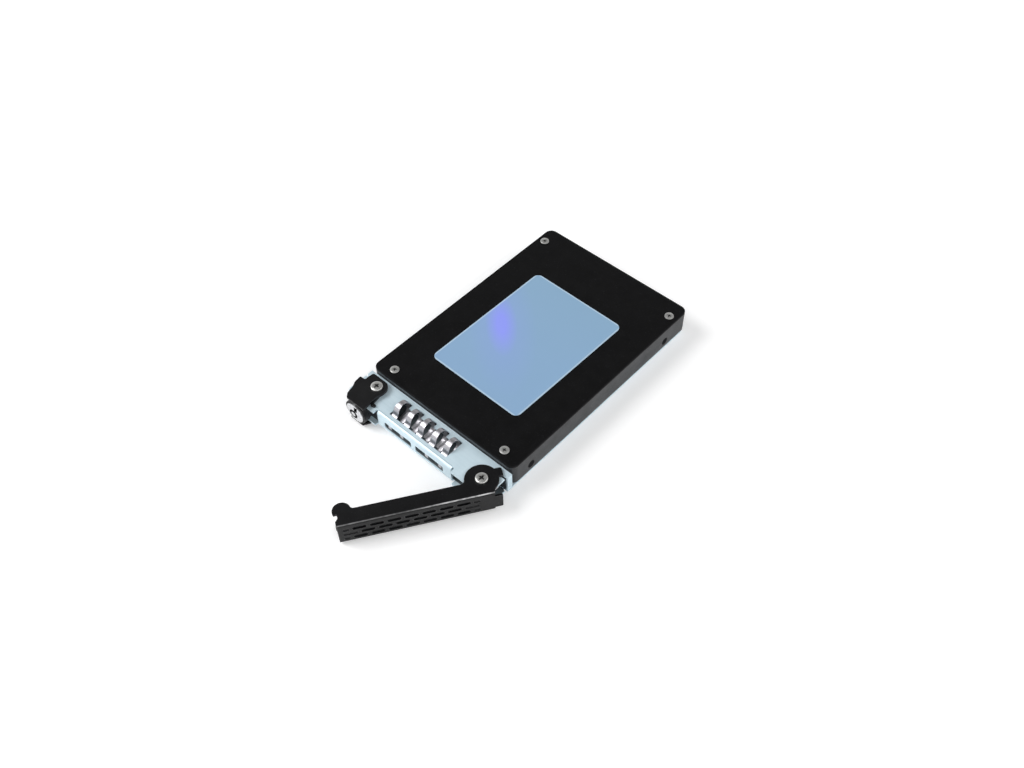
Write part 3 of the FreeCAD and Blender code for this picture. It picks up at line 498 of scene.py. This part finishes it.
def baked(piece):
    """Makes a piece's modifiers part of its mesh."""
    graph = bpy.context.evaluated_depsgraph_get()
    graph.update()
    mesh = bpy.data.meshes.new_from_object(piece.evaluated_get(graph), depsgraph=graph)
    piece.modifiers.clear()
    piece.data = mesh
    mesh.name = piece.name


def merged(node):
    """A work mesh of a CAD solid with the corners of its loose triangles joined."""
    work = bmesh.new()
    work.from_mesh(frame["nodes"][node].data)
    bmesh.ops.remove_doubles(work, verts=work.verts, dist=WELD)
    return work


def softened(node, width, reshape=None):
    """A copy of a CAD solid with its sharp edges eased, shown instead of the solid."""
    mesh = frame["nodes"][node].data.copy()
    work = merged(node)
    bmesh.ops.dissolve_limit(work, angle_limit=math.radians(0.5), verts=work.verts, edges=work.edges)
    if reshape:
        reshape(work)
    work.to_mesh(mesh)
    work.free()
    piece = new_object(node + "_eased", mesh)
    bevel = piece.modifiers.new("eased_edges", "BEVEL")
    bevel.width, bevel.segments, bevel.limit_method = width, 2, "ANGLE"
    bevel.angle_limit = math.radians(28.0)
    bevel.use_clamp_overlap = True
    baked(piece)
    show_for(piece, node, NODE_FINISH[node])


def countersunk(work):
    """Opens the mouths of the drive's side screw holes to a shallow cone."""
    rows_from_rear, hole_height = (14.0 * MM, 90.6 * MM), 3.0 * MM
    search, opening = 1.3 * MM, 0.4 * MM
    low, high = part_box("drive_case")
    for from_rear in rows_from_rear:
        centre = Vector((0, high.y - from_rear, low.z + hole_height))
        for vertex in work.verts:
            arm = Vector((0, vertex.co.y - centre.y, vertex.co.z - centre.z))
            if abs(vertex.co.x) > high.x - 0.01 * MM and arm.length < search:
                vertex.co += arm * (opening / arm.length)


softened("lever", 0.12 * MM)
softened("tray", 0.1 * MM)
softened("drive_case", 0.2 * MM, reshape=countersunk)
softened("drive_cover", 0.12 * MM)
softened("latch_housing", 0.12 * MM)
softened("catch_pawl", 0.1 * MM)
softened("release_button", 0.15 * MM)


# ---------------------------------------------------------------- turned and bent parts
def mesh_of(name, vertices, faces):
    mesh = bpy.data.meshes.new(name)
    mesh.from_pydata(vertices, [], faces)
    mesh.update()
    return mesh


def join_mesh(mesh, extra):
    """Adds another mesh's faces to a mesh."""
    work = bmesh.new()
    work.from_mesh(mesh)
    work.from_mesh(extra)
    work.to_mesh(mesh)
    work.free()


def turned(name, rings, sides):
    """A closed turned solid from (height, radius) rings; a radius may be a function of the angle."""
    vertices, faces = [], []
    for z, radius in rings:
        for i in range(sides):
            angle = math.tau * i / sides
            r = radius(angle) if callable(radius) else radius
            vertices.append((r * math.cos(angle), r * math.sin(angle), z))
    for k in range(len(rings) - 1):
        for i in range(sides):
            j = (i + 1) % sides
            faces.append((k * sides + i, k * sides + j, (k + 1) * sides + j, (k + 1) * sides + i))
    last = (len(rings) - 1) * sides
    faces.append(tuple(reversed(range(sides))))
    faces.append(tuple(last + i for i in range(sides)))
    return mesh_of(name, vertices, faces)


def cross(reach, narrow):
    """The outline of a cross recess as a radius by angle."""
    def radius(angle):
        quarter = abs(math.remainder(angle, math.tau / 4))
        arm = max(math.sin(quarter), 1e-6)
        return min(reach, narrow / arm) if quarter < math.pi / 4 else reach
    return radius


SCREW_SIDES = 64


def pan_screw(name, head_r, head_h, shank_r, shank_l, recess_r, recess_depth):
    """A pan-head screw that stands on z = 0, with its shank below and a cross recess on top."""
    shank = [(-shank_l, shank_r * 0.8), (-shank_l + 0.2 * MM, shank_r), (0, shank_r)]
    rim = [(0, head_r - 0.08 * MM), (0.08 * MM, head_r)]
    ease = min(0.35 * head_h, 0.35 * MM)
    shoulder = [(head_h - ease * (1 - math.sin(a)), head_r - ease * (1 - math.cos(a)))
                for a in (math.pi / 2 * k / 5 for k in range(6))]
    top = head_h + 0.06 * head_r
    dome = [(head_h + 0.03 * head_r, head_r * 0.8), (top, recess_r * 1.12)]
    recess = [(top - 0.03 * MM, cross(recess_r, recess_r * 0.27)),
              (top - recess_depth, cross(recess_r * 0.72, recess_r * 0.2))]
    mesh = turned(name, shank + rim + shoulder + dome + recess, SCREW_SIDES)
    depth = mesh.attributes.new("recess", "FLOAT", "POINT")
    for vertex in mesh.vertices[-SCREW_SIDES:]:
        depth.data[vertex.index].value = 1.0
    return mesh


# ---------------------------------------------------------------- Geometry Nodes
def node_tree(name, *settings):
    """A Geometry Nodes tree with (name, kind, value) inputs: the tree, its first node and what to set."""
    group = bpy.data.node_groups.new(name, "GeometryNodeTree")
    group.interface.new_socket("Geometry", in_out="INPUT", socket_type="NodeSocketGeometry")
    inputs = [(group.interface.new_socket(label, in_out="INPUT", socket_type="NodeSocket" + kind), value)
              for label, kind, value in settings]
    group.interface.new_socket("Geometry", in_out="OUTPUT", socket_type="NodeSocketGeometry")
    return group, group.nodes.new("NodeGroupInput"), inputs


def end_tree(group, geometry, finish):
    """Ends a tree: its instances are made real and take the finish."""
    real = add(group, "GeometryNodeRealizeInstances", Geometry=geometry)
    dress = add(group, "GeometryNodeSetMaterial", Geometry=real.outputs["Geometry"], Material=finish)
    add(group, "NodeGroupOutput", Geometry=dress.outputs["Geometry"])


def run_tree(holder, group, inputs):
    """Runs a tree on an object, whose mesh becomes the result."""
    modifier = holder.modifiers.new(group.name, "NODES")
    modifier.node_group = group
    for socket, value in inputs:
        modifier[socket.identifier] = value
    baked(holder)


def repeated(name, part, places, finish, node, more=(), turn_each=0.0, curved=False, instead=True):
    """One part set at each place, with other meshes added, as one piece that stands for or joins a node."""
    holder = new_object(name, mesh_of(name + "_places", [tuple(point) for point in places], []))
    source = new_object(name + "_part", part)
    group, start, inputs = node_tree(name + "_nodes", ("Part", "Object", source),
                                     ("Turn Each", "Float", turn_each), ("Seed", "Int", 7),
                                     ("Finish", "Material", finish))
    points = add(group, "GeometryNodeMeshToPoints", Mesh=start.outputs["Geometry"])
    info = add(group, "GeometryNodeObjectInfo", Object=start.outputs["Part"])
    chance = group.nodes.new("FunctionNodeRandomValue")
    chance.data_type = "FLOAT"
    fill(group, chance.inputs[3], start.outputs["Turn Each"])
    fill(group, chance.inputs["Seed"], start.outputs["Seed"])
    spin = add(group, "ShaderNodeCombineXYZ", Z=chance.outputs[1])
    instances = add(group, "GeometryNodeInstanceOnPoints", Points=points.outputs["Points"],
                    Instance=info.outputs["Geometry"], Rotation=spin.outputs[0])
    end_tree(group, instances.outputs["Instances"], start.outputs["Finish"])
    run_tree(holder, group, inputs)
    bpy.data.objects.remove(source)
    for extra in more:
        join_mesh(holder.data, extra)
    show_for(holder, node, finish, curved, instead)


def wound_spring(node, centre, coil_radius, wire_radius, turns, height, leg=0.0, tip=0.0):
    """A spring wound by Geometry Nodes, tipped over from upright, with straight legs where it has them."""
    holder = new_object(node + "_wound", bpy.data.meshes.new(node + "_wound"))
    group, start, inputs = node_tree(node + "_winding", ("Coil Radius", "Float", coil_radius),
                                     ("Wire Radius", "Float", wire_radius), ("Turns", "Float", turns),
                                     ("Height", "Float", height))
    coil = add(group, "GeometryNodeCurveSpiral", Resolution=28, Start_Radius=start.outputs["Coil Radius"],
               End_Radius=start.outputs["Coil Radius"], Rotations=start.outputs["Turns"],
               Height=start.outputs["Height"])
    wires = [coil.outputs["Curve"]]
    for z in (0.0, height) if leg else ():
        straight = add(group, "GeometryNodeCurvePrimitiveLine", Start=(coil_radius, -wire_radius, z),
                       End=(coil_radius, leg, z))
        wires.append(straight.outputs["Curve"])
    join = group.nodes.new("GeometryNodeJoinGeometry")
    for wire in wires:
        group.links.new(wire, join.inputs["Geometry"])
    ring = add(group, "GeometryNodeCurvePrimitiveCircle", Resolution=12, Radius=start.outputs["Wire Radius"])
    swept = add(group, "GeometryNodeCurveToMesh", Curve=join.outputs["Geometry"],
                Profile_Curve=ring.outputs["Curve"], Fill_Caps=True)
    moved = add(group, "GeometryNodeTransform", Geometry=swept.outputs["Mesh"], Translation=centre,
                Rotation=(-tip, 0, 0))
    end_tree(group, moved.outputs["Geometry"], WIRE_STEEL)
    run_tree(holder, group, inputs)
    show_for(holder, node, WIRE_STEEL, curved=True)
    return holder


# ---------------------------------------------------------------- screws
def loose_boxes(node):
    """The lowest and highest corners of each of a node's separate solids."""
    work = merged(node)
    unseen, found = set(work.verts), []
    while unseen:
        stack, part = [unseen.pop()], []
        while stack:
            vertex = stack.pop()
            part.append(vertex.co.copy())
            for edge in vertex.link_edges:
                other = edge.other_vert(vertex)
                if other in unseen:
                    unseen.remove(other)
                    stack.append(other)
        low = Vector(min(co[i] for co in part) for i in range(3))
        high = Vector(max(co[i] for co in part) for i in range(3))
        found.append((low, high))
    work.free()
    return sorted(found, key=lambda pair: (round(pair[0].x, 4), round(pair[0].y, 4)))


def under_head(low, high, head_h):
    """The point that a screw's head sits on, from the screw's box."""
    return Vector(((low.x + high.x) / 2, (low.y + high.y) / 2, high.z - head_h))


cover_screw = pan_screw("cover_screw", head_r=1.75 * MM, head_h=0.4 * MM, shank_r=0.88 * MM, shank_l=4.2 * MM,
                        recess_r=0.85 * MM, recess_depth=0.5 * MM)
repeated("cover_screws_dressed", cover_screw,
         [under_head(low, high, 0.45 * MM) for low, high in loose_boxes("drive_cover_screws")],
         SCREW_STEEL, "drive_cover_screws", turn_each=1.4)
for side in ("lever", "latch"):
    low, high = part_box(side + "_pivot_screw")
    seat = under_head(low, high, 1.0 * MM)
    pivot_screw = pan_screw("pivot_screw", head_r=2.25 * MM, head_h=0.86 * MM, shank_r=1.5 * MM,
                            shank_l=seat.z - low.z, recess_r=1.2 * MM, recess_depth=0.7 * MM)
    repeated(side + "_pivot_screw_dressed", pivot_screw, [seat], SCREW_STEEL, side + "_pivot_screw")


# ---------------------------------------------------------------- sheet springs and contacts
def points_of(*pairs):
    """(y, z) points in millimetres as vectors in metres."""
    return [Vector(pair) * MM for pair in pairs]


def strip_along(name, path, half_width, thickness):
    """A bent strip of sheet along (y, z) points, with rounded bends, as wide as half_width says at each."""
    rounds_of_cutting = 3
    for _ in range(rounds_of_cutting):
        cut = [path[0]]
        for first, second in zip(path, path[1:]):
            cut += [first * 0.75 + second * 0.25, first * 0.25 + second * 0.75]
        path = cut + [path[-1]]
    vertices, faces = [], []
    for k, point in enumerate(path):
        along = (path[min(k + 1, len(path) - 1)] - path[max(k - 1, 0)]).normalized()
        out = Vector((-along.y, along.x)) * thickness / 2
        half = half_width(k / (len(path) - 1), point)
        for x, side in ((-half, out), (half, out), (half, -out), (-half, -out)):
            vertices.append((x, point.x + side.x, point.y + side.y))
    for k in range(len(path) - 1):
        for i in range(4):
            j = (i + 1) % 4
            faces.append((4 * k + i, 4 * (k + 1) + i, 4 * (k + 1) + j, 4 * k + j))
    last = 4 * (len(path) - 1)
    faces += [(0, 1, 2, 3), (last + 3, last + 2, last + 1, last)]
    return mesh_of(name, vertices, faces)


def block(name, low, high):
    """A plain rectangular bar between two corners in millimetres."""
    mesh = bpy.data.meshes.new(name)
    work = bmesh.new()
    bmesh.ops.create_cube(work, size=1.0)
    for vertex in work.verts:
        vertex.co = Vector((low[i] + (high[i] - low[i]) * (vertex.co[i] + 0.5)) * MM for i in range(3))
    work.to_mesh(mesh)
    work.free()
    return mesh


def spring_fingers():
    """Five contact fingers of the shielding strip, low leaves between them, their carrier and its legs."""
    middle_finger, pitch = -1.175, 6.25
    leg_places, leg_half = (-13.2, -7.2, 5.3, 11.9), 0.75
    path = points_of((1.1, 6.9), (2.6, 6.9), (3.3, 7.15), (3.95, 7.7), (4.3, 9.0), (5.1, 10.4), (7.1, 11.15),
                     (8.9, 10.6), (9.9, 9.3), (10.2, 7.5), (10.15, 4.6), (9.0, 3.4), (5.6, 3.0))

    def finger_half(share, point):
        """Broad at the foot, narrowing up the rise to the crest, and pinched at the free tip."""
        rising = min(max((point.x / MM - 4.4) / 2.7, 0.0), 1.0) if share < 0.55 else 1.0
        return (1.3 - 0.35 * rising) * MM * (1.0 if share < 0.97 else 0.75)

    finger = strip_along("contact_finger", path, finger_half, 0.2 * MM)
    seats = [Vector((middle_finger + pitch * step, 0, 0)) * MM for step in range(-2, 3)]
    bars = [block("carrier", (-14.975, 1.1, 6.81), (12.625, 2.35, 6.99))]
    for x in leg_places:
        left, right = x - leg_half, x + leg_half
        bars += [block("leg", (left, 0.86, 3.4), (right, 1.09, 7.0)),
                 block("leg_hook", (left, 0.15, 4.78), (right, 0.9, 4.94)),
                 block("hook_tip", (left, 0.12, 3.2), (right, 0.3, 4.94))]

    leaf_path = points_of((1.8, 6.9), (2.5, 6.75), (2.9, 5.7), (3.5, 5.2), (4.6, 5.5), (5.8, 6.0),
                          (7.0, 6.55), (8.2, 7.0))
    stem_end, leaf_length, stem_half = 3.0, 5.2, 0.22

    def leaf_half(share, point):
        """A thin stem, then an oval leaf."""
        oval = min(max((point.x / MM - stem_end) / leaf_length, 0.0), 1.0)
        swell = 0.75 * math.sqrt(math.sin(math.pi * oval)) if point.x > stem_end * MM else 0.0
        return (stem_half + swell) * MM

    leaf = strip_along("low_leaf", leaf_path, leaf_half, 0.15 * MM)
    for seat in seats[:-1]:
        between = leaf.copy()
        between.transform(Matrix.Translation(seat + Vector((2.7, 0, 0)) * MM))
        bars.append(between)
    repeated("spring_fingers", finger, seats, FINGER_STEEL, "emi_spring_strip", bars, curved=True)


def connector_contacts():
    """Gold contacts on both faces of the rear connector's tongue: a group of seven and one of fifteen."""
    top, bottom, pitch = 4.8, 3.5, 1.27
    groups = ((-10.2, 7), (2.02, 15))
    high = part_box("drive_connector")[1] / MM
    tongue_end = high.y - 0.3
    # how far from the tongue's end, and how high over its face, down to where the contact turns in
    bend = ((-4.0, 0.02), (-0.7, 0.02), (-0.15, -0.02), (0.0, -0.16), (0.0, -0.42))
    upper = points_of(*((tongue_end + back, top + lift) for back, lift in bend))
    lower = points_of(*((tongue_end + back, bottom - lift) for back, lift in bend))

    def contact_half(share, point):
        return 0.4 * MM

    contact = strip_along("contact", upper, contact_half, 0.07 * MM)
    join_mesh(contact, strip_along("contact_below", lower, contact_half, 0.07 * MM))
    places = [Vector((first + pitch * step, 0, 0)) * MM for first, count in groups for step in range(count)]
    repeated("connector_contacts", contact, places, CONTACT_GOLD, "drive_connector", curved=True,
             instead=False)


spring_fingers()
connector_contacts()
wound_spring("lever_spring", LEVER_PIVOT + Vector((0, 0, 2.0)) * MM, coil_radius=2.95 * MM,
             wire_radius=0.3 * MM, turns=4.0, height=3.2 * MM, leg=4.6 * MM)
wound_spring("pawl_spring", LATCH_PIVOT + Vector((0, 0, 4.2)) * MM, coil_radius=2.9 * MM,
             wire_radius=0.25 * MM, turns=3.0, height=2.4 * MM, leg=3.6 * MM)
button_coil = wound_spring("button_spring", BUTTON_AXIS + Vector((0, -2.55, 0)) * MM, coil_radius=2.3 * MM,
                           wire_radius=0.2 * MM, turns=3.0, height=1.9 * MM, tip=math.radians(90.0))
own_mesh(button_coil)


# ---------------------------------------------------------------- studio
def studio_stage(ground):
    """A wide pale floor just under the caddy."""
    reach = 3.0
    corners = [(x * reach, y * reach, ground) for x, y in ((-1, -1), (1, -1), (1, 1), (-1, 1))]
    floor = new_object("studio_floor", mesh_of("studio_floor", corners, [(0, 1, 2, 3)]))
    floor.data.materials.append(studio_floor("studio_floor_white"))


def soft_panels(middle):
    """Three soft square lamps turned to the caddy's middle: (name, offset, side, watts), in metres."""
    for name, offset, side, power in (("key_panel", (-0.5, -0.4, 0.7), 0.5, 5.5),
                                      ("fill_panel", (0.55, 0.45, 0.6), 0.6, 2.0),
                                      ("front_panel", (0.1, -0.75, 0.3), 0.5, 0.6)):
        lamp = bpy.data.lights.new(name, "AREA")
        lamp.energy, lamp.size = power, side
        source = new_object(name, lamp)
        source.location = middle + Vector(offset)
        source.rotation_euler = (middle - source.location).to_track_quat("-Z", "Y").to_euler()


def surroundings():
    """A white room, bright low down and dimmer overhead, with one bright window for glossy edges to catch."""
    world = bpy.data.worlds.new("studio")
    world.use_nodes = True
    tree = world.node_tree
    background = tree.nodes["Background"]
    background.inputs["Color"].default_value = (1, 1, 1, 1)
    direction = tree.nodes.new("ShaderNodeTexCoord").outputs["Generated"]
    height = add(tree, "ShaderNodeSeparateXYZ", Vector=direction).outputs["Z"]
    levels = ((0.0, 0.95), (0.3, 0.8), (0.62, 0.22), (1.0, 0.2))
    walls = ramp(tree, height, [(place_at, (grey,) * 3) for place_at, grey in levels])
    window_side = (0.717, -0.298, 0.616)
    toward = tree.nodes.new("ShaderNodeVectorMath")
    toward.operation = "DOT_PRODUCT"
    tree.links.new(direction, toward.inputs[0])
    toward.inputs[1].default_value = window_side
    window = span(tree, toward.outputs["Value"], 0.0, 1.3, start=0.86, end=0.97)
    tree.links.new(arithmetic(tree, "ADD", walls, window), background.inputs["Strength"])
    bpy.context.scene.world = world


def camera():
    """The main view, from the front right and above."""
    azimuth, height, roll = math.radians(43.134), math.radians(50.475), math.radians(-1.076)
    stand = Vector((173.266, -134.579, 300.92)) * MM
    forward = Vector((-math.sin(azimuth) * math.cos(height), math.cos(azimuth) * math.cos(height),
                      -math.sin(height)))
    level = Vector((math.cos(azimuth), math.sin(azimuth), 0))
    above = level.cross(forward)
    right = level * math.cos(roll) + above * math.sin(roll)
    up = right.cross(forward)
    lens = bpy.data.cameras.new("camera")
    lens.lens, lens.sensor_width, lens.clip_start = 36.578, 36.0, 0.01
    viewer = new_object("camera", lens)
    turn = Matrix((right, up, -forward)).transposed().to_4x4()
    viewer.matrix_world = Matrix.Translation(stand) @ turn
    bpy.context.scene.camera = viewer


cad_low, cad_high = (Vector(corner) for corner in cad_box)
studio_stage(cad_low.z - 0.2 * MM)
soft_panels((cad_low + cad_high) / 2)
surroundings()
camera()
bpy.context.scene.view_settings.view_transform = "Standard"
